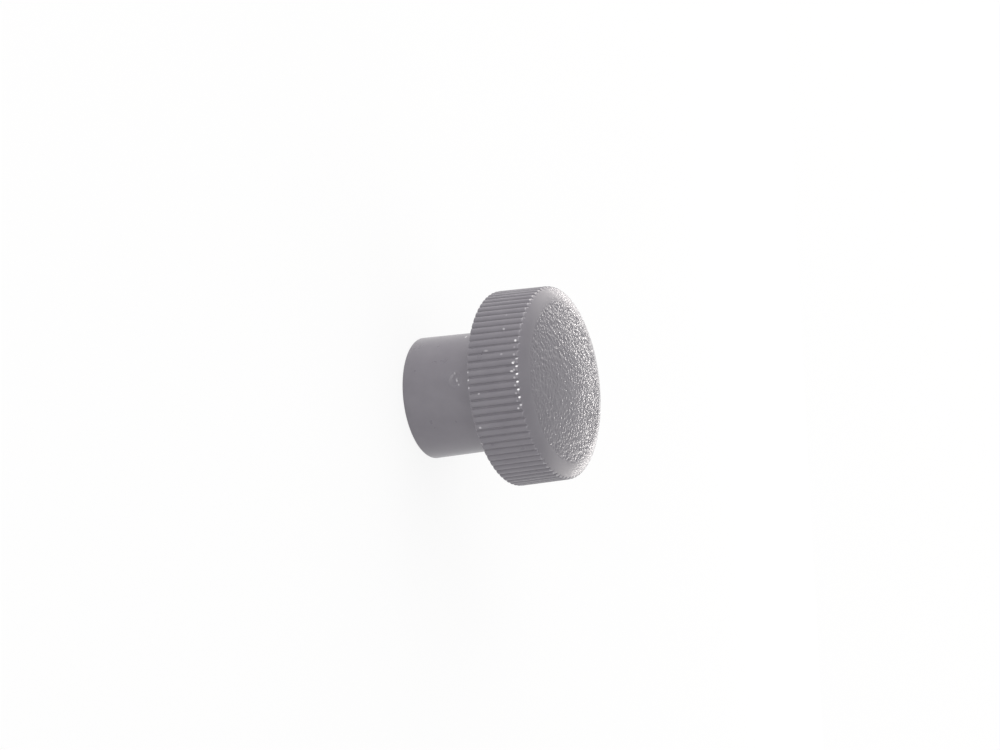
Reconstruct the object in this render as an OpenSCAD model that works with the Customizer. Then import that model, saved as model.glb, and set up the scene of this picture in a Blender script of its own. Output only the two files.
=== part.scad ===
// Knurled knob: hub and head moulded in one piece, with a tapped metal insert in the end of the hub.
// It stands on the end of its hub at Z = 0, with its axis on Z and its face upwards. Lengths are millimetres.

/* [Head] */
// Diameter over the knurl at the back of the rim
head_d = 25; // [22:0.5:32]
// Width of the knurled rim along the axis
rim_w = 7; // [5:0.25:10]
// Draft of the rim on each side in degrees, narrowing towards the face
rim_draft = 1; // [0.25:0.25:2]
// Rounding of the rim's back edge
rim_back_round = 0.2; // [0.1:0.05:0.5]
// Rounding of the rim's front edge
rim_front_round = 0.45; // [0.2:0.05:0.6]
// Width of the smooth shoulder between the rim and the grained field of the face
shoulder_w = 2.08; // [1.6:0.04:2.6]
// Rise of the shoulder from the rim to the grained field
shoulder_h = 0.8; // [0.6:0.05:1.2]
// Rise of the crowned field above its own edge
crown_h = 1.05; // [0.5:0.05:1.2]

/* [Knurl] */
// Number of ribs around the rim
knurl_count = 78; // [60:1:84]
// Depth of the grooves between the ribs
knurl_depth = 0.25; // [0.15:0.05:0.4]
// Width of the land on the crest of a rib
knurl_land_w = 0.2; // [0.1:0.05:0.3]
// Width of the flat at the bottom of a groove
knurl_root_w = 0.1; // [0.05:0.01:0.15]

/* [Hub] */
// Diameter of the hub at its free end
hub_end_d = 15.5; // [14:0.1:18]
// Diameter of the hub where it meets the head
hub_root_d = 15.1; // [14:0.1:18]
// Length of the hub from its free end to the back of the head
hub_l = 11.5; // [9:0.5:16]
// Rounding of the edge at the hub's free end
hub_end_round = 0.3; // [0.1:0.05:1]
// Fillet between the hub and the back of the head
hub_root_fillet = 0.4; // [0.2:0.05:1]

/* [Insert] */
// Nominal diameter of the thread
thread_d = 6; // [4:0.5:6.5]
// Pitch of the thread
thread_pitch = 1; // [0.7:0.05:1.25]
// Depth of the tapped hole
thread_depth = 10; // [7:0.5:10.5]
// Chamfer at the mouth of the tapped hole
mouth_chamfer = 0.7; // [0.4:0.05:0.9]
// Outside diameter of the insert
insert_d = 9.6; // [9:0.1:11]
// Length of the insert
insert_l = 13; // [12.5:0.5:15]
// Length of the plain collar at the insert's mouth
collar_l = 2; // [1:0.25:3]
// Number of serrations that keep the insert from turning
serration_count = 26; // [16:1:30]
// Depth of the serrations
serration_depth = 0.35; // [0.2:0.05:0.45]
// Width of the groove that keeps the insert from pulling out
waist_w = 2; // [1:0.25:3]
// Depth of that groove
waist_depth = 0.7; // [0.5:0.05:0.9]
// Chamfer on the insert's inner end
insert_end_chamfer = 0.5; // [0.2:0.05:0.8]

/* [Hidden] */
$fn = 96;

plastic_colour = [0.48, 0.47, 0.49];
brass_colour = [0.72, 0.58, 0.32];

// How far a cut runs past the surface that it opens
cut_over = 0.5;
// Included angle of the point that a drill leaves at the bottom of its hole
drill_point_angle = 118;

// Heights and radii of the head
head_r = head_d / 2;
rim_front_r = head_r - rim_w * tan(rim_draft);
rim_front_z = hub_l + rim_w;
face_r = rim_front_r - shoulder_w;
face_z = rim_front_z + shoulder_h;

// Corners of the moulding's half section, as [radius, height]
axis_foot = [0, 0];
hub_end = [hub_end_d / 2, 0];
hub_root = [hub_root_d / 2, hub_l];
rim_back = [head_r, hub_l];
rim_front = [rim_front_r, rim_front_z];
face_edge = [face_r, face_z];

// The crown is part of a sphere, and the shoulder is an arc that leaves the crown's edge at its slope
crown_r = (face_r ^ 2 + crown_h ^ 2) / (2 * crown_h);
crown_centre = [0, face_z + crown_h - crown_r];
crown_edge_slope = asin(face_r / crown_r);
shoulder_turn = 2 * (atan(shoulder_h / shoulder_w) - crown_edge_slope);
shoulder_r = norm([shoulder_w, shoulder_h]) / (2 * sin(shoulder_turn / 2));
shoulder_centre = face_edge - shoulder_r * [sin(crown_edge_slope), cos(crown_edge_slope)];

// The rounding of the rim's front edge touches the rim's straight run and the shoulder's arc from inside
rim_along = [-sin(rim_draft), cos(rim_draft)];
rim_inwards = [-cos(rim_draft), -sin(rim_draft)];
front_reach = rim_front + rim_front_round * rim_inwards - shoulder_centre;
front_reach_along = front_reach * rim_along;
front_inner_r = shoulder_r - rim_front_round;
front_offset_sq = front_reach * front_reach - front_reach_along ^ 2;
front_shift = sqrt(front_inner_r ^ 2 - front_offset_sq) - front_reach_along;
front_centre = shoulder_centre + front_reach + front_shift * rim_along;
front_rim_touch = front_centre - rim_front_round * rim_inwards;
front_shoulder_touch = shoulder_centre + (front_centre - shoulder_centre) * shoulder_r / front_inner_r;

// A rib's two flanks lie on one circle about the rib's middle, through the edges of its land and its roots
rib_pitch = PI * head_d / knurl_count;
rib_half_root = (rib_pitch - knurl_root_w) / 2;
rib_centre_depth = (rib_half_root ^ 2 + knurl_depth ^ 2 - (knurl_land_w / 2) ^ 2) / (2 * knurl_depth);
rib_flank_r = norm([rib_centre_depth, knurl_land_w / 2]);

// Radii and heights of the insert
tap_r = (thread_d - thread_pitch) / 2;
insert_r = insert_d / 2;
waist_z = (collar_l + insert_l - waist_w) / 2;

// Direction from one point to another, of length 1
function towards(from, to) = (to - from) / norm(to - from);

// Half the angle in the corner between two straight runs
function half_angle(before, corner, after) = acos(towards(corner, before) * towards(corner, after)) / 2;

// Point where a corner's rounding touches the run that leads to the corner
function touch(before, corner, after, radius) =
    corner + towards(corner, before) * radius / tan(half_angle(before, corner, after));

// Disc that rounds or fills the corner between two straight runs
module corner_disc(before, corner, after, radius) {
    across = towards(corner, before) + towards(corner, after);
    translate(corner + across / norm(across) * radius / sin(half_angle(before, corner, after)))
        circle(radius);
}

// Half section of the head's front: the crown, the shoulder and the rounding of the rim's front edge
module front_section() {
    intersection() {
        translate(crown_centre) circle(crown_r);
        translate([0, face_z]) square([face_r, 2 * crown_h]);
    }
    intersection() {
        translate(shoulder_centre) circle(shoulder_r);
        polygon([front_shoulder_touch, [front_shoulder_touch[0], face_z], face_edge]);
    }
    translate(front_centre) circle(rim_front_round);
}

// Half section of the whole moulding, before the knurl and the insert's pocket are cut
module moulding_section() {
    difference() {
        union() {
            polygon([
                axis_foot,
                touch(axis_foot, hub_end, hub_root, hub_end_round),
                touch(hub_root, hub_end, axis_foot, hub_end_round),
                touch(hub_end, hub_root, rim_back, hub_root_fillet),
                touch(rim_back, hub_root, hub_end, hub_root_fillet),
                touch(hub_root, rim_back, rim_front, rim_back_round),
                touch(rim_front, rim_back, hub_root, rim_back_round),
                front_rim_touch,
                front_shoulder_touch,
                face_edge,
                [0, face_z]
            ]);
            corner_disc(axis_foot, hub_end, hub_root, hub_end_round);
            corner_disc(hub_root, rim_back, rim_front, rim_back_round);
            front_section();
        }
        corner_disc(hub_end, hub_root, rim_back, hub_root_fillet);
    }
}

// One groove between two ribs, leaning inwards with the rim's draft
module knurl_groove() {
    half_w = (rib_pitch - knurl_land_w) / 2;
    translate([head_r, 0, hub_l])
        rotate([0, -rim_draft, 0])
            translate([0, 0, -cut_over])
                linear_extrude(rim_w + shoulder_h + 2 * cut_over)
                    difference() {
                        translate([-knurl_depth, -half_w])
                            square([knurl_depth + cut_over, 2 * half_w]);
                        for (side = [-1, 1])
                            translate([-rib_centre_depth, side * rib_pitch / 2])
                                circle(rib_flank_r);
                    }
}

// All the grooves, the first of them at the front, on -Y
module knurl() {
    for (i = [0 : knurl_count - 1])
        rotate([0, 0, i * 360 / knurl_count - 90])
            knurl_groove();
}

// Outer form of the insert, which is also the pocket in the moulding
module insert_blank() {
    difference() {
        rotate_extrude()
            polygon([
                [0, 0],
                [insert_r, 0],
                [insert_r, waist_z],
                [insert_r - waist_depth, waist_z],
                [insert_r - waist_depth, waist_z + waist_w],
                [insert_r, waist_z + waist_w],
                [insert_r, insert_l - insert_end_chamfer],
                [insert_r - insert_end_chamfer, insert_l],
                [0, insert_l]
            ]);
        for (i = [0 : serration_count - 1])
            rotate([0, 0, i * 360 / serration_count])
                translate([insert_r - serration_depth, 0, collar_l])
                    rotate([0, 0, -45])
                        cube([2 * serration_depth, 2 * serration_depth, insert_l]);
    }
}

// The tapped hole at its drilled size, with a drill point and a chamfered mouth
module tapped_hole() {
    rotate_extrude()
        polygon([
            [0, -cut_over],
            [tap_r + mouth_chamfer + cut_over, -cut_over],
            [tap_r, mouth_chamfer],
            [tap_r, thread_depth],
            [0, thread_depth + tap_r / tan(drill_point_angle / 2)]
        ]);
}

// The moulding, with the pocket that the insert fills
module knob_body() {
    color(plastic_colour)
        difference() {
            rotate_extrude() moulding_section();
            knurl();
            insert_blank();
        }
}

// The brass insert, flush with the end of the hub
module threaded_insert() {
    color(brass_colour)
        difference() {
            insert_blank();
            tapped_hole();
        }
}

knob_body();
threaded_insert();
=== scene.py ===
"""Looks of a knurled knob: the moulding with its knurled head, and the tapped brass insert in its hub."""
import logging
import math
from collections.abc import Callable, Iterator, Sequence
from contextlib import contextmanager
from dataclasses import dataclass, field, replace
from enum import Enum

import bmesh
import bpy
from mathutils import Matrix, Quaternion, Vector, noise


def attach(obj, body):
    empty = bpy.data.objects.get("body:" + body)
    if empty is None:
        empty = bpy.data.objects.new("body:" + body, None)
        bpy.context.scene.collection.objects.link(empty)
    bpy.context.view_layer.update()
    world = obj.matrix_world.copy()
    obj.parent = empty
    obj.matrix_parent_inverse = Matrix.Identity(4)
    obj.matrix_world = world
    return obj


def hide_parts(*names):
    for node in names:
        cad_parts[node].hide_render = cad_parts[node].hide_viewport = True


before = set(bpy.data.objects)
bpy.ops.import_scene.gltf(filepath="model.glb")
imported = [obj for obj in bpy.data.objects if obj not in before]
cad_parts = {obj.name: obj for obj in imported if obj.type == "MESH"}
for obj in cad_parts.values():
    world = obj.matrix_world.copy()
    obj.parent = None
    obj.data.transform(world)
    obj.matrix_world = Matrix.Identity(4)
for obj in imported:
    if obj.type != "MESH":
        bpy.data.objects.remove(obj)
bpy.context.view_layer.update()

# One millimetre in metres
MM = 0.001
# Points nearer than this are welded, in metres
WELD = 0.5e-6
# How exactly a cut follows its plane, in metres
EXACT = 1e-7
# Heights and radii nearer than this count as the same, in millimetres
NEAR = 0.01
# Colour sockets of the mix node: its two inputs and its output
MIX_A, MIX_B, MIX_OUT = 6, 7, 2
# Radians that the wave texture turns in a unit of length at a scale of 1
WAVE_RATE = 20

Place = tuple[float, float, float]
Profile = list[tuple[float, float]]
Colour = tuple[float, float, float, float]

log = logging.getLogger("knurled_knob")


class Slot(Enum):
    """Material slots of the record."""

    PLASTIC = "moulded_plastic"
    BRASS = "insert_brass"


class Node(Enum):
    """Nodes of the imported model."""

    BODY = "knob_body"
    INSERT = "threaded_insert"


def arc(centre: tuple[float, float], radius: float, start: float, end: float, steps: int) -> Profile:
    """Points along an arc of a half section, both ends included.

    Args:
        centre: The arc's centre, as radius and height.
        radius: The arc's own radius.
        start: Angle of the first point from the outward direction, in degrees.
        end: Angle of the last point, in degrees.
        steps: Straight pieces between the two.

    Returns:
        The points, each as radius and height.
    """
    angles = [math.radians(angle) for angle in spread(start, end, steps)]
    return [(centre[0] + radius * math.cos(a), centre[1] + radius * math.sin(a)) for a in angles]


def spread(low: float, high: float, steps: int) -> list[float]:
    """Evenly spaced values, both ends included."""
    return [low + (high - low) * i / steps for i in range(steps + 1)]


def ease(value: float) -> float:
    """Smooth step from 0 to 1, held at both ends."""
    t = min(1.0, max(0.0, value))
    return t * t * (3 - 2 * t)


def soft_min(a: float, b: float, reach: float) -> float:
    """The lower of two values, rounded off where they come within reach of each other.

    Args:
        a: The first value.
        b: The second value.
        reach: Difference between the two under which they are blended.

    Returns:
        The blended value, or the plain minimum if there is no reach.
    """
    if reach <= 0:
        return min(a, b)
    h = min(1.0, max(0.0, 0.5 + 0.5 * (b - a) / reach))
    return b + (a - b) * h - reach * h * (1 - h)


@contextmanager
def editing(piece: bpy.types.Object) -> Iterator[None]:
    """Hold one piece in edit mode, with nothing else selected, for the length of a with block.

    Args:
        piece: The object to edit.

    Returns:
        The context, which gives nothing to its block.
    """
    bpy.ops.object.select_all(action="DESELECT")
    bpy.context.view_layer.objects.active = piece
    piece.select_set(True)
    bpy.ops.object.mode_set(mode="EDIT")
    try:
        yield
    finally:
        bpy.ops.object.mode_set(mode="OBJECT")


def pick_open_edges(piece: bpy.types.Object, wanted: Callable[[Vector], bool]) -> None:
    """Select the open edges of a piece in edit mode whose two ends lie where they are wanted.

    Args:
        piece: The object in edit mode.
        wanted: Takes a point and tells whether it is wanted.
    """
    bpy.ops.mesh.select_mode(type="EDGE")
    bpy.ops.mesh.select_all(action="DESELECT")
    mesh = bmesh.from_edit_mesh(piece.data)
    for edge in mesh.edges:
        edge.select = edge.is_boundary and all(wanted(vert.co) for vert in edge.verts)
    mesh.select_flush(True)
    bmesh.update_edit_mesh(piece.data)


def draw_profile(name: str, points: Sequence[Vector]) -> bpy.types.Object:
    """Draw an open outline by extruding a single point along it.

    Args:
        name: Name of the new object.
        points: The outline's points in order.

    Returns:
        The object, with its origin at the frame's origin.
    """
    bpy.ops.object.select_all(action="DESELECT")
    bpy.ops.mesh.primitive_plane_add(size=MM, location=(0, 0, 0))
    piece = bpy.context.object
    piece.name = piece.data.name = name
    with editing(piece):
        bpy.ops.mesh.select_all(action="SELECT")
        bpy.ops.mesh.merge(type="CENTER")
        bpy.ops.transform.translate(value=points[0])
        for before, after in zip(points, points[1:]):
            bpy.ops.mesh.extrude_region_move(TRANSFORM_OT_translate={"value": after - before})
    return piece


def reshape(piece: bpy.types.Object, moved: Callable[[float, float, float], Place]) -> None:
    """Move every point of a round piece in edit mode by its place about the axis.

    Args:
        piece: The object in edit mode.
        moved: Takes a point's radius and height in millimetres and its angle from -Y towards +X in radians,
            and returns the three that it moves to.
    """
    mesh = bmesh.from_edit_mesh(piece.data)
    for vert in mesh.verts:
        turn = math.atan2(vert.co.x, -vert.co.y)
        r, z, turn = moved(vert.co.xy.length / MM, vert.co.z / MM, turn)
        vert.co = Vector((r * math.sin(turn), -r * math.cos(turn), z)) * MM
    bmesh.update_edit_mesh(piece.data)


def apply_modifier(piece: bpy.types.Object, modifier: bpy.types.Modifier) -> None:
    """Make a modifier's result the piece's own mesh.

    Args:
        piece: The object that has the modifier.
        modifier: The modifier to apply.
    """
    bpy.ops.object.select_all(action="DESELECT")
    bpy.context.view_layer.objects.active = piece
    piece.select_set(True)
    bpy.ops.object.modifier_apply(modifier=modifier.name)


def close_up(piece: bpy.types.Object, smooth_below: float) -> None:
    """Point a closed piece's faces outwards and shade it smooth below an angle.

    Args:
        piece: The object to finish.
        smooth_below: Angle between two faces under which their edge is shaded smooth, in degrees.
    """
    with editing(piece):
        bpy.ops.mesh.select_mode(type="VERT")
        bpy.ops.mesh.select_all(action="SELECT")
        bpy.ops.mesh.normals_make_consistent(inside=False)
    bpy.ops.object.shade_smooth_by_angle(angle=math.radians(smooth_below))


def place(piece: bpy.types.Object, node: Node, slot: Slot) -> None:
    """Let a finished piece ride on the one body and stand for its node.

    Args:
        piece: The finished object.
        node: The node that it stands for.
        slot: Its material slot; not used.
    """
    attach(piece, "root")
    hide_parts(node.value)
    piece.data.calc_loop_triangles()
    log.info("%s stands for %s with %d triangles", piece.name, node.value, len(piece.data.loop_triangles))


def add_node(
    tree: bpy.types.NodeTree, kind: str, inputs: dict[str | int, object] | None = None, **settings: object
) -> bpy.types.Node:
    """Add a node to a tree, with its settings and its inputs.

    Args:
        tree: The tree that the node goes into.
        kind: The node's type name.
        inputs: Value of each input by its name or number, or the socket that is linked to it.
        settings: Values of the node's own properties.

    Returns:
        The new node.
    """
    node = tree.nodes.new(kind)
    for name, value in settings.items():
        setattr(node, name, value)
    for key, value in (inputs or {}).items():
        if isinstance(value, bpy.types.NodeSocket):
            tree.links.new(value, node.inputs[key])
        else:
            node.inputs[key].default_value = value
    return node


def mix_colours(
    tree: bpy.types.NodeTree, mask: bpy.types.NodeSocket, base: Colour | bpy.types.NodeSocket, over: Colour
) -> bpy.types.NodeSocket:
    """Mix two colours by a mask.

    Args:
        tree: The tree that the node goes into.
        mask: Share of the second colour.
        base: The first colour, or a socket with it.
        over: The second colour.

    Returns:
        The socket with the mixed colour.
    """
    node = add_node(tree, "ShaderNodeMix", {"Factor": mask, MIX_A: base, MIX_B: over}, data_type="RGBA")
    return node.outputs[MIX_OUT]


def new_group(name: str, inputs: dict[str, float], outputs: Sequence[str]) -> bpy.types.NodeTree:
    """Start a shader node group with number sockets.

    Args:
        name: The group's name.
        inputs: Default value of each input by its name.
        outputs: Names of the outputs.

    Returns:
        The group's tree, with only its input and output nodes.
    """
    tree = bpy.data.node_groups.new(name, "ShaderNodeTree")
    for socket, value in inputs.items():
        given = tree.interface.new_socket(socket, in_out="INPUT", socket_type="NodeSocketFloat")
        given.default_value = value
    for socket in outputs:
        tree.interface.new_socket(socket, in_out="OUTPUT", socket_type="NodeSocketFloat")
    tree.nodes.new("NodeGroupInput").name = "given"
    tree.nodes.new("NodeGroupOutput").name = "result"
    return tree


@dataclass(frozen=True)
class PaleSpot:
    """Pale spot painted on the moulding, used for painted highlights and for pale specks, in millimetres
    and degrees from -Y towards +X.
    """

    turn: float
    z: float
    pale: float
    half_w: float = 0.20
    half_l: float = 0.22
    r: float = 12.3
    core: float = 0.4

    def place(self) -> Place:
        """The spot's middle in the frame."""
        turn = math.radians(self.turn)
        return self.r * math.sin(turn) * MM, -self.r * math.cos(turn) * MM, self.z * MM


@dataclass
class SurfaceEffects:
    """Node groups that the finishes use."""

    cloud_detail: float = 4.0
    cloud_low: float = 0.3
    cloud_high: float = 0.7
    mottle: bpy.types.NodeTree = field(init=False)

    def __post_init__(self) -> None:
        """Build the shared group once."""
        self.mottle = self._mottle()

    def _mottle(self) -> bpy.types.NodeTree:
        """Soft cloudy variation of a surface.

        Returns:
            A group that takes Scale per metre and puts out Mask, from 0 to 1.
        """
        tree = new_group("surface_mottle", {"Scale": 1.0}, ["Mask"])
        place_on = add_node(tree, "ShaderNodeTexCoord").outputs["Object"]
        scale = tree.nodes["given"].outputs["Scale"]
        clouds = add_node(
            tree, "ShaderNodeTexNoise", {"Vector": place_on, "Scale": scale, "Detail": self.cloud_detail}
        )
        lifted = add_node(
            tree,
            "ShaderNodeMapRange",
            {"Value": clouds.outputs["Fac"], "From Min": self.cloud_low, "From Max": self.cloud_high},
        )
        tree.links.new(lifted.outputs["Result"], tree.nodes["result"].inputs["Mask"])
        return tree

    def spots(self, name: str, pale_spots: Sequence[PaleSpot]) -> bpy.types.NodeTree:
        """Pale spots at given places: painted highlights and pale specks.

        Args:
            name: The group's name.
            pale_spots: The spots, at least one.

        Returns:
            A group that puts out Mask, which is each spot's paleness within it and 0 elsewhere.
        """
        tree = new_group(name, {}, ["Mask"])
        place_on = add_node(tree, "ShaderNodeTexCoord").outputs["Object"]
        palest = self._spot(tree, place_on, pale_spots[0])
        for pale_spot in pale_spots[1:]:
            spot = self._spot(tree, place_on, pale_spot)
            both = add_node(tree, "ShaderNodeMath", {0: palest, 1: spot}, operation="MAXIMUM")
            palest = both.outputs[0]
        tree.links.new(palest, tree.nodes["result"].inputs["Mask"])
        return tree

    @staticmethod
    def _spot(
        tree: bpy.types.NodeTree, place_on: bpy.types.NodeSocket, pale_spot: PaleSpot
    ) -> bpy.types.NodeSocket:
        """One pale spot, which fades out from its core to its edge.

        Args:
            tree: The tree that the nodes go into.
            place_on: The socket with the surface's own place.
            pale_spot: The spot.

        Returns:
            The socket with the spot's paleness.
        """
        off = add_node(
            tree, "ShaderNodeVectorMath", {0: place_on, 1: pale_spot.place()}, operation="SUBTRACT"
        )
        squeeze = (1, 1, pale_spot.half_w / pale_spot.half_l)
        squeezed = add_node(
            tree, "ShaderNodeVectorMath", {0: off.outputs[0], 1: squeeze}, operation="MULTIPLY"
        )
        reach = add_node(tree, "ShaderNodeVectorMath", {0: squeezed.outputs[0]}, operation="LENGTH")
        spot = add_node(
            tree,
            "ShaderNodeMapRange",
            {
                "Value": reach.outputs["Value"],
                "From Min": pale_spot.core * pale_spot.half_w * MM,
                "From Max": pale_spot.half_w * MM,
                "To Min": pale_spot.pale,
                "To Max": 0.0,
            },
            interpolation_type="SMOOTHSTEP",
        )
        return spot.outputs["Result"]


@dataclass(frozen=True)
class PlasticFinish:
    """Moulded plastic: its colour, with painted highlights and pale specks in it, how satin it is, and the
    fine texture left by the mould.
    """

    name: str
    dark: Colour = (0.146, 0.1375, 0.155, 1.0)
    light: Colour = (0.162, 0.1535, 0.171, 1.0)
    # Colour of the pale spots: painted highlights and pale specks
    pale: Colour = (0.88, 0.87, 0.88, 1.0)
    gloss_low: float = 0.27
    gloss_high: float = 0.35
    ior: float = 1.5
    cloud_scale: float = 420.0
    skin_scale: float = 9000.0
    skin_depth: float = 0.001
    # Pale spots painted into the colour: painted highlights and pale specks
    pale_spots: tuple[PaleSpot, ...] = ()

    def build(self, effects: SurfaceEffects) -> bpy.types.Material:
        """Build the material.

        Args:
            effects: The shared node groups.

        Returns:
            The material, ready for a piece.
        """
        material = bpy.data.materials.new(self.name)
        material.use_nodes = True
        tree = material.node_tree
        shader = tree.nodes["Principled BSDF"]
        shader.inputs["IOR"].default_value = self.ior
        clouds = add_node(tree, "ShaderNodeGroup", node_tree=effects.mottle)
        clouds.inputs["Scale"].default_value = self.cloud_scale
        tone = mix_colours(tree, clouds.outputs["Mask"], self.dark, self.light)
        # Pale spots mixed into the base colour, which stand for painted highlights and pale specks
        if self.pale_spots:
            group = effects.spots(f"{self.name}_nicks", self.pale_spots)
            spotted = add_node(tree, "ShaderNodeGroup", node_tree=group)
            tone = mix_colours(tree, spotted.outputs["Mask"], tone, self.pale)
        tree.links.new(tone, shader.inputs["Base Color"])
        gloss = add_node(
            tree,
            "ShaderNodeMapRange",
            {"Value": clouds.outputs["Mask"], "To Min": self.gloss_low, "To Max": self.gloss_high},
        )
        tree.links.new(gloss.outputs["Result"], shader.inputs["Roughness"])
        skin = add_node(tree, "ShaderNodeGroup", node_tree=effects.mottle)
        skin.inputs["Scale"].default_value = self.skin_scale
        relief = add_node(
            tree, "ShaderNodeBump", {"Height": skin.outputs["Mask"], "Distance": self.skin_depth * MM}
        )
        tree.links.new(relief.outputs["Normal"], shader.inputs["Normal"])
        return material


@dataclass(frozen=True)
class BrassFinish:
    """Turned brass, with the fine rings of the lathe and a little tarnish."""

    name: str = "turned_brass"
    bright: Colour = (0.78, 0.55, 0.23, 1.0)
    dull: Colour = (0.58, 0.39, 0.15, 1.0)
    gloss_low: float = 0.22
    gloss_high: float = 0.38
    cloud_scale: float = 700.0
    ring_pitch: float = 0.09
    ring_depth: float = 0.002
    ring_wander: float = 0.6

    def build(self, effects: SurfaceEffects) -> bpy.types.Material:
        """Build the material.

        Args:
            effects: The shared node groups.

        Returns:
            The material, ready for a piece.
        """
        material = bpy.data.materials.new(self.name)
        material.use_nodes = True
        tree = material.node_tree
        shader = tree.nodes["Principled BSDF"]
        shader.inputs["Metallic"].default_value = 1.0
        tarnish = add_node(tree, "ShaderNodeGroup", node_tree=effects.mottle)
        tarnish.inputs["Scale"].default_value = self.cloud_scale
        tone = mix_colours(tree, tarnish.outputs["Mask"], self.bright, self.dull)
        tree.links.new(tone, shader.inputs["Base Color"])
        gloss = add_node(
            tree,
            "ShaderNodeMapRange",
            {"Value": tarnish.outputs["Mask"], "To Min": self.gloss_low, "To Max": self.gloss_high},
        )
        tree.links.new(gloss.outputs["Result"], shader.inputs["Roughness"])
        place_on = add_node(tree, "ShaderNodeTexCoord").outputs["Object"]
        scale = math.tau / (WAVE_RATE * self.ring_pitch * MM)
        rings = add_node(
            tree,
            "ShaderNodeTexWave",
            {"Vector": place_on, "Scale": scale, "Distortion": self.ring_wander},
            wave_type="RINGS",
            rings_direction="Z",
        )
        relief = add_node(
            tree, "ShaderNodeBump", {"Height": rings.outputs["Fac"], "Distance": self.ring_depth * MM}
        )
        tree.links.new(relief.outputs["Normal"], shader.inputs["Normal"])
        return material


@dataclass(frozen=True)
class Knurl:
    """Straight knurl of the rim, in millimetres."""

    count: int = 78
    depth: float = 0.25
    land: float = 0.2
    root: float = 0.1
    flank_shares: tuple[float, ...] = (0.10, 0.18, 0.31)
    runout: float = 0.9

    @property
    def stations(self) -> int:
        """Straight pieces in the section of one rib."""
        return 2 * (len(self.flank_shares) + 2)

    def section(self, head_d: float) -> Profile:
        """Section of one rib from the middle of a groove to the middle of the next.

        Args:
            head_d: Diameter over the ribs.

        Returns:
            Points as the way around the rim from the first groove's middle, and the depth below the crest.
        """
        pitch = math.pi * head_d / self.count
        half_root = (pitch - self.root) / 2
        sink = (half_root**2 + self.depth**2 - (self.land / 2) ** 2) / (2 * self.depth)
        flank_r = math.hypot(sink, self.land / 2)
        ways = [self.root / 2, *[share * pitch for share in self.flank_shares]]
        depths = [sink - math.sqrt(flank_r**2 - (pitch / 2 - way) ** 2) for way in ways]
        rising = [(0.0, self.depth), *zip(ways, depths)]
        falling = [(pitch - way, depth) for way, depth in reversed(rising)]
        return [*rising, (pitch / 2, 0.0), *falling]


@dataclass(frozen=True)
class GlintRow:
    """Row of painted highlights on the rib ends, as pale spots, one on each of some neighbouring ribs, that
    fades out at both ends.

    Places along the row are pitches of the knurl from -Y, and sizes are millimetres.
    """

    first: float
    count: int
    z: float
    pale: float
    half_w: float = 0.20
    half_l: float = 0.22
    r: float = 12.3
    fade_power: int = 4

    def pale_spots(self, knurl: Knurl) -> list[PaleSpot]:
        """Set out the row on a knurl.

        Args:
            knurl: The knurl whose ribs the row is painted on.

        Returns:
            The spots in order around the rim.
        """
        middle = (self.count - 1) / 2
        spots = []
        for i in range(self.count):
            fade = 1 - (abs(i - middle) / (self.count / 2)) ** self.fade_power
            turn = (self.first + i) * 360 / knurl.count
            spots.append(PaleSpot(turn, self.z, self.pale * fade, self.half_w, self.half_l, self.r))
        return spots


@dataclass(frozen=True)
class GateGlint:
    """Painted highlight on the gate mark, as a pale spot, in millimetres around and along the hub from the
    mark's middle.
    """

    across: float
    along: float
    pale: float
    half_w: float
    half_l: float = 0.15


@dataclass(frozen=True)
class GateMark:
    """Scar that the mould's feed left on the hub: a shallow dish with a broken nub, in millimetres.

    Painted highlights lie on the nub and at two places of the lip, as pale spots.
    """

    turn: float = -14.8
    z: float = 7.45
    half_w: float = 0.95
    half_h: float = 0.74
    dish: float = 0.09
    dish_flat: float = 0.6
    lip: float = 0.06
    lip_from: float = 0.7
    lip_out: float = 0.35
    nub_up: float = 0.25
    nub_w: float = 0.42
    nub_h: float = 0.26
    nub: float = 0.17
    hub_r: float = 7.65
    # Painted highlights on the nub and the lip
    glints: tuple[GateGlint, ...] = (
        GateGlint(0.13, 0.29, pale=0.30, half_w=0.30),
        GateGlint(-0.83, 0.0, pale=0.20, half_w=0.22),
        GateGlint(0.71, 0.55, pale=0.20, half_w=0.18),
    )
    ring_reach: float = 1.1
    ring_steps: int = 14

    def pale_spots(self) -> list[PaleSpot]:
        """Pale spots painted as highlights where the nub and the lip catch the light.

        Returns:
            The spots, one for each painted highlight.
        """
        spots = []
        for glint in self.glints:
            turn = self.turn + math.degrees(glint.across / self.hub_r)
            spots.append(PaleSpot(turn, self.z + glint.along, glint.pale, glint.half_w, glint.half_l, self.hub_r))
        return spots

    def rings(self) -> list[float]:
        """Heights of the closer rings of the hub's mesh that take the mark's shape."""
        return spread(self.z - self.ring_reach, self.z + self.ring_reach, self.ring_steps)

    def rise(self, across: float, along: float) -> float:
        """Height of the scar above the hub's own surface.

        Args:
            across: Distance from the scar's middle around the hub.
            along: Distance from its middle along the axis.

        Returns:
            The height, below 0 in the dish.
        """
        reach = math.hypot(across / self.half_w, along / self.half_h)
        dish = -self.dish * (1 - ease((reach - self.dish_flat) / (1 - self.dish_flat)))
        lip_rise = ease((reach - self.lip_from) / (1 - self.lip_from))
        lip = self.lip * lip_rise * (1 - ease((reach - 1) / self.lip_out))
        nub = self.nub * (1 - ease(math.hypot(across / self.nub_w, (along - self.nub_up) / self.nub_h)))
        return dish + lip + nub


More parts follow.
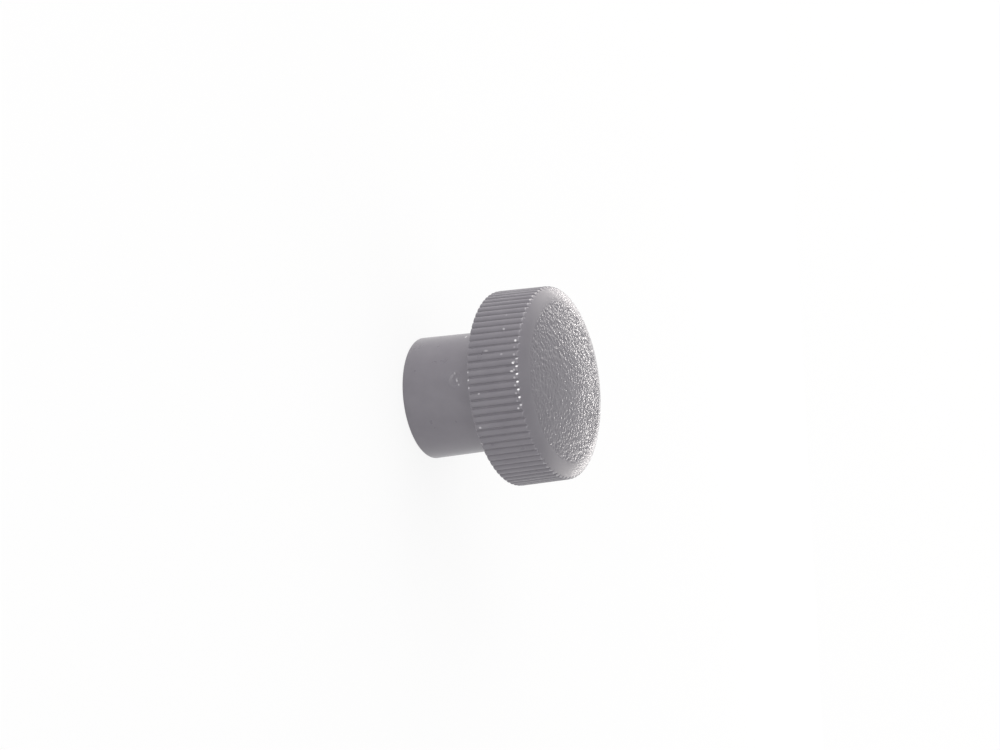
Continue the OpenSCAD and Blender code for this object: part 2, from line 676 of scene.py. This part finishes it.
@dataclass(frozen=True)
class InsertBlank:
    """Outer form of the insert, which the moulding's pocket fits, in millimetres."""

    d: float = 9.6
    length: float = 13.0
    collar_l: float = 2.0
    serrations: int = 26
    serration_depth: float = 0.35
    waist_z: float = 6.5
    waist_w: float = 2.0
    waist_depth: float = 0.7
    end_chamfer: float = 0.5
    step: float = 0.01

    def wall(self) -> Profile:
        """The outer wall from the top of the collar to the edge of the inner end.

        Returns:
            The points, each as radius and height.
        """
        r = self.d / 2
        waist_r = r - self.waist_depth
        waist_top = self.waist_z + self.waist_w
        return [
            (r, self.collar_l),
            (r, self.collar_l + self.step),
            (r, self.waist_z),
            (waist_r, self.waist_z),
            (waist_r, waist_top),
            (r, waist_top),
            (r, self.length - self.end_chamfer),
            (r - self.end_chamfer, self.length),
        ]

    def serrated(self, r: float, z: float, turn: float) -> Place:
        """Sink a point of the wall into the serration that it lies in.

        Args:
            r: Radius of the point.
            z: Height of the point.
            turn: Angle of the point from -Y.

        Returns:
            The point with its radius limited by the serrations, which begin above the collar.
        """
        if z <= self.collar_l + self.step / 2:
            return r, z, turn
        pitch = math.tau / self.serrations
        off = abs((turn - math.pi / 2 + pitch / 2) % pitch - pitch / 2)
        floor_r = self.d / 2 - self.serration_depth
        return min(r, floor_r / (math.cos(off) - math.sin(off))), z, turn


@dataclass
class Moulding:
    """The hub and head, moulded in one piece, in millimetres."""

    satin: PlasticFinish = PlasticFinish("satin_moulding")
    grained: PlasticFinish = PlasticFinish(
        "grained_moulding", gloss_low=0.11, gloss_high=0.16, skin_scale=7000.0, skin_depth=0.001
    )
    knurl: Knurl = Knurl()
    # Painted highlights: rows of pale spots where the rib ends at the rim's front and back edges catch the
    # light
    glint_rows: tuple[GlintRow, ...] = (
        GlintRow(first=-3.8, count=7, z=18.4, pale=1.0),
        GlintRow(first=-5.35, count=8, z=18.05, pale=0.28),
        GlintRow(first=-2.65, count=3, z=11.65, pale=0.5, half_w=0.17, half_l=0.15, r=12.4),
    )
    # Pale spots painted on the rim and hub: painted highlights at the ribs' front ends and one on the hub,
    # and pale specks on the ribs
    glints_and_specks: tuple[PaleSpot, ...] = (
        PaleSpot(-29.0, 18.1, 0.75),
        PaleSpot(-15.0, 17.9, 0.85),
        PaleSpot(-10.0, 17.7, 0.65, half_l=0.3),
        PaleSpot(12.0, 18.0, 0.5),
        PaleSpot(-68.0, 14.2, 0.3, half_l=0.4),
        PaleSpot(-63.0, 15.5, 0.2, half_l=0.4),
        PaleSpot(-48.5, 16.1, 0.2),
        PaleSpot(-38.0, 16.2, 0.3),
        PaleSpot(-24.5, 14.1, 0.25, half_l=0.5),
        PaleSpot(-21.0, 16.3, 0.25, half_l=0.3),
        PaleSpot(1.0, 12.9, 0.35),
        PaleSpot(21.0, 12.2, 0.35, r=12.45),
        PaleSpot(32.0, 11.6, 0.4, half_w=0.25, r=12.4),
        # Painted highlight on the hub's upper side
        PaleSpot(-71.0, 7.45, 0.45, half_w=0.45, half_l=0.15, r=7.65),
    )
    gate: GateMark = GateMark()
    pocket: InsertBlank = InsertBlank()
    head_d: float = 25.0
    rim_w: float = 7.0
    draft: float = 1.0
    back_round: float = 0.2
    front_round: float = 0.45
    shoulder_w: float = 2.08
    shoulder_h: float = 0.8
    crown_h: float = 1.05
    hub_end_d: float = 15.5
    hub_root_d: float = 15.1
    hub_l: float = 11.5
    end_round: float = 0.3
    root_fillet: float = 0.4
    mouth_break: float = 0.08
    grain_size: float = 0.35
    grain_depth: float = 0.22
    grain_fade: float = 0.25
    grain_edge: float = 0.3
    grain_slack: float = 0.05
    low_hub_rings: tuple[float, ...] = (2.5, 5.0)
    high_hub_ring: float = 10.0
    round_steps: int = 5
    back_steps: int = 4
    rim_steps: int = 4
    shoulder_split: float = 0.45
    close_steps: int = 8
    wide_steps: int = 5
    groove_margin: float = 0.15
    still_w: float = 0.5
    wall_t: float = 0.5
    smooth_below: float = 40.0

    @property
    def rim_front_z(self) -> float:
        """Height of the rim's front edge."""
        return self.hub_l + self.rim_w

    @property
    def face_z(self) -> float:
        """Height of the grained field's edge."""
        return self.rim_front_z + self.shoulder_h

    @property
    def face_r(self) -> float:
        """Radius of the grained field."""
        return self.rim_r(self.rim_front_z) - self.shoulder_w

    @property
    def crown_r(self) -> float:
        """Radius of the sphere that the crowned field is part of."""
        return (self.face_r**2 + self.crown_h**2) / (2 * self.crown_h)

    def rim_r(self, z: float) -> float:
        """Radius over the ribs at a height, with the rim's draft."""
        return self.head_d / 2 - (z - self.hub_l) * math.tan(math.radians(self.draft))

    def hub_r(self, z: float) -> float:
        """Radius of the tapering hub at a height."""
        return (self.hub_end_d + (self.hub_root_d - self.hub_end_d) * z / self.hub_l) / 2

    def build(self, effects: SurfaceEffects) -> bpy.types.Object:
        """Model and dress the moulding.

        Args:
            effects: The shared node groups.

        Returns:
            The finished piece.
        """
        hub = [*self._pocket_run(), *self._hub_run()]
        section = [*hub, *self._back_run(), *self._rim_run(), *self._front_run()]
        piece = draw_profile("knob_moulding", [Vector((0.0, -r, z)) * MM for r, z in section])
        with editing(piece):
            self._turn_ribs(piece)
            self._close_ends(piece)
        self._crown(piece)
        self._press_grain(piece)
        with editing(piece):
            reshape(piece, self._scarred)
        close_up(piece, self.smooth_below)
        self._dress(piece, effects)
        place(piece, Node.BODY, Slot.PLASTIC)
        return piece

    def _pocket_run(self) -> Profile:
        """The pocket that the insert fills, from its inner end to its mouth."""
        wall = self.pocket.d / 2
        return [*reversed(self.pocket.wall()), (wall, self.mouth_break), (wall + self.mouth_break, 0.0)]

    def _hub_run(self) -> Profile:
        """The hub's end and wall, with closer rings round the gate mark, and the fillet at its root.

        Returns:
            The points, each as radius and height.
        """
        end_centre = (self.hub_r(self.end_round) - self.end_round, self.end_round)
        root_z = self.hub_l - self.root_fillet
        fillet_centre = (self.hub_r(root_z) + self.root_fillet, root_z)
        heights = [*self.low_hub_rings, *self.gate.rings(), self.high_hub_ring]
        return [
            *arc(end_centre, self.end_round, -90, 0, self.round_steps),
            *[(self.hub_r(z), z) for z in heights],
            *arc(fillet_centre, self.root_fillet, 180, 90, self.round_steps),
        ]

    def _back_run(self) -> Profile:
        """The back of the head, outwards, and the round of its edge.

        Returns:
            The points, each as radius and height.
        """
        floor_r = self.head_d / 2 - self.knurl.depth
        middle_r = (self.hub_root_d / 2 + self.root_fillet + floor_r) / 2
        edge_centre = (self.head_d / 2 - self.back_round, self.hub_l + self.back_round)
        return [
            (middle_r, self.hub_l),
            (floor_r - self.groove_margin, self.hub_l),
            (floor_r, self.hub_l),
            *arc(edge_centre, self.back_round, -90, 0, self.back_steps),
        ]

    def _rim_run(self) -> Profile:
        """The rim's straight run between its two rounded edges.

        Returns:
            The points, each as radius and height.
        """
        low = self.hub_l + 2 * self.back_round
        high = self._front_round_centre().y
        return [(self.rim_r(z), z) for z in spread(low, high, self.rim_steps)[:-1]]

    def _shoulder_arc(self) -> tuple[Vector, float]:
        """Work out the shoulder's arc, which leaves the crown's edge at its slope.

        Returns:
            The arc's centre, as radius and height, and its own radius.
        """
        slope = math.asin(self.face_r / self.crown_r)
        turn = 2 * (math.atan(self.shoulder_h / self.shoulder_w) - slope)
        radius = math.hypot(self.shoulder_w, self.shoulder_h) / (2 * math.sin(turn / 2))
        upwards = Vector((math.sin(slope), math.cos(slope)))
        return Vector((self.face_r, self.face_z)) - radius * upwards, radius

    def _front_round_centre(self) -> Vector:
        """Work out the round of the rim's front edge, which touches the rim's run and the shoulder's arc.

        Returns:
            The round's centre, as radius and height.
        """
        centre, radius = self._shoulder_arc()
        lean = math.radians(self.draft)
        along = Vector((-math.sin(lean), math.cos(lean)))
        inwards = Vector((-math.cos(lean), -math.sin(lean)))
        corner = Vector((self.rim_r(self.rim_front_z), self.rim_front_z))
        reach = corner + self.front_round * inwards - centre
        forth = reach.dot(along)
        shift = math.sqrt((radius - self.front_round) ** 2 - reach.length_squared + forth**2) - forth
        return centre + reach + shift * along

    def _front_run(self) -> Profile:
        """The round of the rim's front edge and the shoulder, up to the grained field.

        Returns:
            The points, each as radius and height, closer together where the ribs run out.
        """
        centre, radius = self._shoulder_arc()
        edge_centre = self._front_round_centre()
        offset = edge_centre - centre
        meet = math.degrees(math.atan2(offset.y, offset.x))
        top = 90 - math.degrees(math.asin(self.face_r / self.crown_r))
        split = meet + (top - meet) * self.shoulder_split
        edge = arc(tuple(edge_centre), self.front_round, self.draft, meet, self.round_steps)
        close = arc(tuple(centre), radius, meet, split, self.close_steps)
        wide = arc(tuple(centre), radius, split, top, self.wide_steps)
        return [*edge, *close[1:], *wide[1:]]

    def _turn_ribs(self, piece: bpy.types.Object) -> None:
        """Spin the section over one rib, shape the rib, and copy it all round the axis.

        Args:
            piece: The section's object in edit mode.
        """
        pitch = math.tau / self.knurl.count
        bpy.ops.mesh.select_all(action="SELECT")
        bpy.ops.mesh.spin(steps=self.knurl.stations, angle=pitch, center=(0, 0, 0), axis=(0, 0, 1))
        reshape(piece, self._ribbed)
        bpy.ops.mesh.select_all(action="SELECT")
        copies = self.knurl.count - 1
        bpy.ops.mesh.spin(steps=copies, dupli=True, angle=pitch * copies, center=(0, 0, 0), axis=(0, 0, 1))
        bpy.ops.mesh.select_all(action="SELECT")
        bpy.ops.mesh.remove_doubles(threshold=WELD)
        reshape(piece, self._pocketed)

    def _ribbed(self, r: float, z: float, turn: float) -> Place:
        """Move a point of the head onto the rib's section: around to its station, and inwards to its depth.

        Args:
            r: Radius of the point.
            z: Height of the point.
            turn: Angle of the point from the middle of the groove.

        Returns:
            The place that it moves to; points away from the rim stay.
        """
        inner_r = self.face_r + self.still_w
        if z < self.hub_l - WELD / MM or r < inner_r:
            return r, z, turn
        station = round(abs(turn) / (math.tau / self.knurl.count) * self.knurl.stations)
        way, depth = self.knurl.section(self.head_d)[station]
        wanted = math.copysign(way / (self.head_d / 2), turn)
        sunk = soft_min(r, self.rim_r(z) - depth, self.knurl.runout * depth)
        return sunk, z, turn + (wanted - turn) * ease(r - inner_r)

    def _pocketed(self, r: float, z: float, turn: float) -> Place:
        """Sink a point of the pocket's wall into the insert's serrations; other points stay."""
        in_pocket = r < self.pocket.d / 2 + WELD / MM and z < self.pocket.length + WELD / MM
        return self.pocket.serrated(r, z, turn) if in_pocket else (r, z, turn)

    def _scarred(self, r: float, z: float, turn: float) -> Place:
        """Raise or sink a point of the hub's wall by the gate mark.

        Args:
            r: Radius of the point.
            z: Height of the point.
            turn: Angle of the point from -Y.

        Returns:
            The place that it moves to; points away from the hub's wall stay.
        """
        if r < self.hub_root_d / 2 - self.wall_t or z > self.hub_l - self.root_fillet:
            return r, z, turn
        across = (turn - math.radians(self.gate.turn)) * r
        return r + self.gate.rise(across, z - self.gate.z), z, turn

    def _close_ends(self, piece: bpy.types.Object) -> None:
        """Close the pocket's inner end, and the face with an even grid that can take the grain.

        Args:
            piece: The turned object in edit mode.
        """
        middle_z = (self.hub_l + self.rim_w / 2) * MM
        pick_open_edges(piece, lambda co: co.z < middle_z)
        bpy.ops.mesh.edge_face_add()
        pick_open_edges(piece, lambda co: co.z > middle_z)
        bpy.ops.mesh.fill_grid(span=self.knurl.stations * self.knurl.count // 4)

    def _inside_field(self, co: Vector) -> float:
        """Distance of a point on the face from the grained field's edge, below 0 outside the field."""
        on_top = co.z > (self.face_z - NEAR) * MM
        return self.face_r - co.xy.length / MM if on_top else -1.0

    def _crown(self, piece: bpy.types.Object) -> None:
        """Raise the flat field to its crown, which is part of a sphere.

        Args:
            piece: The closed object.
        """
        crowned = piece.vertex_groups.new(name="crowned_field")
        in_field = [vert.index for vert in piece.data.vertices if self._inside_field(vert.co) > -NEAR]
        crowned.add(in_field, 1.0, "REPLACE")
        bpy.ops.object.empty_add(location=(0, 0, (self.face_z + self.crown_h - self.crown_r) * MM))
        centre = bpy.context.object
        cast = piece.modifiers.new("crown", "CAST")
        cast.cast_type = "SPHERE"
        cast.object = centre
        cast.factor = 1.0
        cast.use_radius_as_size = False
        cast.size = self.crown_r * MM
        cast.vertex_group = crowned.name
        apply_modifier(piece, cast)
        bpy.data.objects.remove(centre)

    def _press_grain(self, piece: bpy.types.Object) -> None:
        """Press the fine moulded grain into the crowned field, fading out at its edge.

        Args:
            piece: The crowned object.
        """
        pressed = piece.vertex_groups.new(name="grain")
        for vert in piece.data.vertices:
            inside = self._inside_field(vert.co)
            if inside > 0:
                wander = self.grain_edge * noise.noise(vert.co / MM)
                pressed.add([vert.index], ease(min(inside, inside + wander) / self.grain_fade), "REPLACE")
        cells = bpy.data.textures.new("moulded_grain", "CLOUDS")
        cells.noise_basis = "IMPROVED_PERLIN"
        cells.noise_scale = self.grain_size * MM
        cells.noise_depth = 1
        press = piece.modifiers.new("grain", "DISPLACE")
        press.texture = cells
        press.texture_coords = "LOCAL"
        press.strength = self.grain_depth * MM
        press.mid_level = 0.5
        press.vertex_group = pressed.name
        apply_modifier(piece, press)

    def _dress(self, piece: bpy.types.Object, effects: SurfaceEffects) -> None:
        """Give the piece its satin finish with painted highlights and pale specks, and the field of the
        face its grained one.

        Args:
            piece: The shaped object.
            effects: The shared node groups.
        """
        # The satin finish carries the pale spots: painted highlights on the rib ends, the hub and the gate
        # mark, and pale specks on the ribs
        rows = [pale_spot for row in self.glint_rows for pale_spot in row.pale_spots(self.knurl)]
        spotted = replace(self.satin, pale_spots=(*rows, *self.glints_and_specks, *self.gate.pale_spots()))
        piece.data.materials.append(spotted.build(effects))
        piece.data.materials.append(self.grained.build(effects))
        lift = Vector((0.0, 0.0, self.grain_slack * MM))
        for face in piece.data.polygons:
            face.material_index = int(self._inside_field(face.center + lift) > 0)


@dataclass
class ThreadedInsert:
    """The tapped brass bush in the hub's end, in millimetres."""

    brass: BrassFinish = BrassFinish()
    blank: InsertBlank = InsertBlank()
    thread_d: float = 6.0
    pitch: float = 1.0
    depth: float = 10.0
    mouth_chamfer: float = 0.7
    mouth_break: float = 0.08
    end_face_gap: float = 0.05
    crest_w: float = 0.29
    flank_angle: float = 30.0
    runout_z: float = 8.6
    runout_l: float = 0.8
    drill_angle: float = 118.0
    segments: int = 208
    thread_steps: int = 96
    lead_turns: int = 2
    spare_teeth: int = 3
    smooth_below: float = 32.0

    @property
    def tap_r(self) -> float:
        """Radius of the hole under the thread."""
        return (self.thread_d - self.pitch) / 2

    @property
    def mouth_r(self) -> float:
        """Radius of the chamfered mouth."""
        return self.tap_r + self.mouth_chamfer

    def build(self, effects: SurfaceEffects) -> bpy.types.Object:
        """Model and dress the insert.

        Args:
            effects: The shared node groups.

        Returns:
            The finished piece.
        """
        piece = self._shell()
        thread = self._thread()
        bpy.ops.object.select_all(action="DESELECT")
        thread.select_set(True)
        piece.select_set(True)
        bpy.context.view_layer.objects.active = piece
        bpy.ops.object.join()
        with editing(piece):
            pick_open_edges(piece, lambda co: abs(co.z) < WELD)
            bpy.ops.mesh.fill(use_beauty=True)
        close_up(piece, self.smooth_below)
        piece.data.materials.append(self.brass.build(effects))
        place(piece, Node.INSERT, Slot.BRASS)
        return piece

    def _shell(self) -> bpy.types.Object:
        """Raise the insert's end face, collar, serrated wall and inner end from a ring at its mouth.

        Returns:
            The object, open at the mouth.
        """
        wall_r = self.blank.d / 2
        run = [(wall_r - self.mouth_break, 0.0), (wall_r, self.mouth_break), *self.blank.wall()]
        start_r = self.mouth_r + self.end_face_gap
        bpy.ops.object.select_all(action="DESELECT")
        bpy.ops.mesh.primitive_circle_add(vertices=self.segments, radius=start_r * MM, location=(0, 0, 0))
        piece = bpy.context.object
        piece.name = piece.data.name = "brass_insert"
        with editing(piece):
            bpy.ops.mesh.select_all(action="SELECT")
            for (r0, z0), (r1, z1) in zip([(start_r, 0.0), *run], run):
                bpy.ops.mesh.extrude_region_move(TRANSFORM_OT_translate={"value": (0, 0, (z1 - z0) * MM)})
                bpy.ops.transform.resize(value=(r1 / r0, r1 / r0, 1), center_override=(0, 0, 0))
            bpy.ops.mesh.edge_face_add()
            reshape(piece, self.blank.serrated)
        return piece

    def _thread(self) -> bpy.types.Object:
        """Sweep the thread's tooth up a right-hand helix, and trim it to the hole.

        Returns:
            The object, open at the mouth and closed by the drill's point at its other end.
        """
        tooth_h = self.thread_d / 2 - self.tap_r
        flank = tooth_h * math.tan(math.radians(self.flank_angle))
        root_w = self.pitch - self.crest_w - 2 * flank
        teeth = round(self.depth / self.pitch) + self.spare_teeth
        points = [Vector((self.tap_r, 0.0, -self.lead_turns * self.pitch))]
        for _ in range(teeth):
            for out, up in ((0, self.crest_w), (tooth_h, flank), (0, root_w), (-tooth_h, flank)):
                points += [points[-1] + Vector((out, 0.0, up)) * share for share in (0.5, 1.0)]
        piece = draw_profile("insert_thread", [point * MM for point in points])
        helix = piece.modifiers.new("helix", "SCREW")
        helix.angle = math.tau
        helix.screw_offset = self.pitch * MM
        helix.steps = helix.render_steps = self.thread_steps
        apply_modifier(piece, helix)
        with editing(piece):
            bpy.ops.mesh.select_all(action="SELECT")
            bpy.ops.mesh.remove_doubles(threshold=WELD)
            for height, ends in ((0.0, {"clear_inner": True}), (self.depth, {"clear_outer": True})):
                bpy.ops.mesh.select_all(action="SELECT")
                bpy.ops.mesh.bisect(
                    plane_co=(0, 0, height * MM), plane_no=(0, 0, 1), threshold=EXACT, **ends
                )
            reshape(piece, self._trimmed)
            pick_open_edges(piece, lambda co: co.z > (self.depth - NEAR) * MM)
            point_l = self.tap_r / math.tan(math.radians(self.drill_angle / 2))
            bpy.ops.mesh.extrude_region_move(TRANSFORM_OT_translate={"value": (0, 0, point_l * MM)})
            bpy.ops.mesh.merge(type="CENTER")
        return piece

    def _trimmed(self, r: float, z: float, turn: float) -> Place:
        """Cut a point of the thread back to the mouth's chamfer, and run the thread out near the bottom."""
        left = 1 - ease((z - self.runout_z) / self.runout_l)
        return max(self.tap_r + (r - self.tap_r) * left, self.mouth_r - z), z, turn


# Colour of the warmer lamps
WARM = (1.0, 0.955, 0.925)


@dataclass(frozen=True)
class Lamp:
    """Soft rectangular lamp that is turned to the knob, in metres and watts."""

    name: str
    place: Place
    size: tuple[float, float]
    power: float
    colour: tuple[float, float, float] = (1.0, 1.0, 1.0)

    def add(self, aim: Vector) -> None:
        """Hang the lamp and aim it.

        Args:
            aim: The point that it is turned to.
        """
        light = bpy.data.lights.new(self.name, "AREA")
        light.shape = "RECTANGLE"
        light.size, light.size_y = self.size
        light.energy = self.power
        light.color = self.colour
        stand = bpy.data.objects.new(self.name, light)
        stand.location = self.place
        stand.rotation_euler = (aim - stand.location).to_track_quat("-Z", "Y").to_euler()
        stand.visible_camera = False
        bpy.context.collection.objects.link(stand)


@dataclass(frozen=True)
class Shot:
    """Where the camera stands and how it is turned about its line of sight, in millimetres and degrees."""

    elevation: float = 24.9
    roll: float = 83.2
    distance: float = 1200.0
    frame_w: float = 127.57
    target: Place = (-1.86, 0.0, 10.405)

    def add(self) -> None:
        """Set up the camera and make it the scene's."""
        camera = bpy.data.cameras.new("camera")
        camera.lens = camera.sensor_width * self.distance / self.frame_w
        stand = bpy.data.objects.new("camera", camera)
        lift = math.radians(self.elevation)
        forward = Vector((0.0, math.cos(lift), -math.sin(lift)))
        stand.location = (Vector(self.target) - forward * self.distance) * MM
        turned = forward.to_track_quat("-Z", "Y") @ Quaternion((0, 0, 1), math.radians(self.roll))
        stand.rotation_euler = turned.to_euler()
        bpy.context.collection.objects.link(stand)
        bpy.context.scene.camera = stand


@dataclass
class Studio:
    """White floor and surround, soft lamps and the camera."""

    shot: Shot = Shot()
    lamps: list[Lamp] = field(
        default_factory=lambda: [
            Lamp("side_key", (-0.95, -0.15, 0.45), (1.0, 0.8), 4.8),
            Lamp("front_lamp", (-0.14, -0.80, 0.57), (0.12, 0.12), 0.5),
            Lamp("front_low", (0.0, -1.0, 0.20), (1.2, 0.4), 4.7),
            Lamp("low_tube_left", (-0.13, 0.60, 0.010), (0.18, 0.016), 0.06, WARM),
            Lamp("low_tube_right", (0.14, 0.60, 0.010), (0.20, 0.016), 0.085, WARM),
            Lamp("high_tube", (0.0, 0.84, 0.15), (0.6, 0.016), 0.52, WARM),
            Lamp("floor_strip", (0.02, 0.12, 0.007), (0.12, 0.012), 0.006, WARM),
            Lamp("back_left", (-0.30, 0.80, 0.16), (0.40, 0.26), 0.55, WARM),
            Lamp("back_right", (0.30, 0.80, 0.16), (0.40, 0.26), 0.50, WARM),
            Lamp("tall_left", (-0.401, 0.694, 0.409), (0.45, 0.42), 0.78, WARM),
            Lamp("tall_right", (0.401, 0.694, 0.409), (0.45, 0.42), 0.72, WARM),
            Lamp("low_left", (-0.78, 0.42, 0.15), (0.8, 0.30), 5.6, WARM),
            Lamp("low_right", (0.80, 0.35, 0.15), (0.8, 0.30), 2.6),
        ]
    )
    aim: Place = (0.0, 0.0, 0.010)
    ambient: float = 0.62
    floor_size: float = 6.0
    floor_z: float = -0.00005
    floor_white: float = 0.85
    floor_glow: float = 0.85

    def build(self) -> None:
        """Set up the stage, the light and the camera."""
        scene = bpy.context.scene
        scene.view_settings.view_transform = "Standard"
        self._surround(scene)
        self._floor()
        for lamp in self.lamps:
            lamp.add(Vector(self.aim))
        self.shot.add()

    @staticmethod
    def _shown(tree: bpy.types.NodeTree, seen_share: float) -> bpy.types.NodeSocket:
        """Share of plain white that a ray shows: all of it where mirrored, and less where seen directly.

        Args:
            tree: The tree that the nodes go into.
            seen_share: The share for rays that come straight from the camera.

        Returns:
            The socket with the share, which is 0 for all other rays.
        """
        path = add_node(tree, "ShaderNodeLightPath")
        mirrored = add_node(
            tree,
            "ShaderNodeMath",
            {0: path.outputs["Is Glossy Ray"], 1: path.outputs["Is Transmission Ray"]},
            operation="MAXIMUM",
        )
        seen = add_node(
            tree, "ShaderNodeMath", {0: path.outputs["Is Camera Ray"], 1: seen_share}, operation="MULTIPLY"
        )
        shown = add_node(
            tree, "ShaderNodeMath", {0: mirrored.outputs[0], 1: seen.outputs[0]}, operation="MAXIMUM"
        )
        return shown.outputs[0]

    def _surround(self, scene: bpy.types.Scene) -> None:
        """White all round for what shows it, and a softer glow for what it lights.

        Args:
            scene: The scene that it surrounds.
        """
        world = bpy.data.worlds.new("white_surround")
        world.use_nodes = True
        tree = world.node_tree
        tree.nodes.clear()
        soft = add_node(tree, "ShaderNodeBackground", {"Color": (1, 1, 1, 1), "Strength": self.ambient})
        white = add_node(tree, "ShaderNodeBackground", {"Color": (1, 1, 1, 1), "Strength": 1.0})
        either = add_node(
            tree,
            "ShaderNodeMixShader",
            {0: self._shown(tree, 1.0), 1: soft.outputs[0], 2: white.outputs[0]},
        )
        add_node(tree, "ShaderNodeOutputWorld", {"Surface": either.outputs[0]})
        scene.world = world

    def _floor(self) -> None:
        """Plain white floor that keeps the knob's shadow."""
        bpy.ops.object.select_all(action="DESELECT")
        bpy.ops.mesh.primitive_plane_add(size=self.floor_size, location=(0, 0, self.floor_z))
        floor = bpy.context.object
        floor.name = floor.data.name = "floor"
        material = bpy.data.materials.new("white_floor")
        material.use_nodes = True
        tree = material.node_tree
        tree.nodes.clear()
        shade = self.floor_white
        matt = add_node(tree, "ShaderNodeBsdfDiffuse", {"Color": (shade, shade, shade, 1)})
        white = add_node(tree, "ShaderNodeEmission", {"Color": (1, 1, 1, 1), "Strength": 1.0})
        either = add_node(
            tree,
            "ShaderNodeMixShader",
            {0: self._shown(tree, self.floor_glow), 1: matt.outputs[0], 2: white.outputs[0]},
        )
        add_node(tree, "ShaderNodeOutputMaterial", {"Surface": either.outputs[0]})
        floor.data.materials.append(material)


def main() -> None:
    """Set up the studio, build the knob's pieces in order, and report each."""
    logging.basicConfig(level=logging.INFO, format="%(name)s: %(message)s")
    Studio().build()
    log.info("studio is set up")
    effects = SurfaceEffects()
    Moulding().build(effects)
    ThreadedInsert().build(effects)


if __name__ == "__main__":
    main()
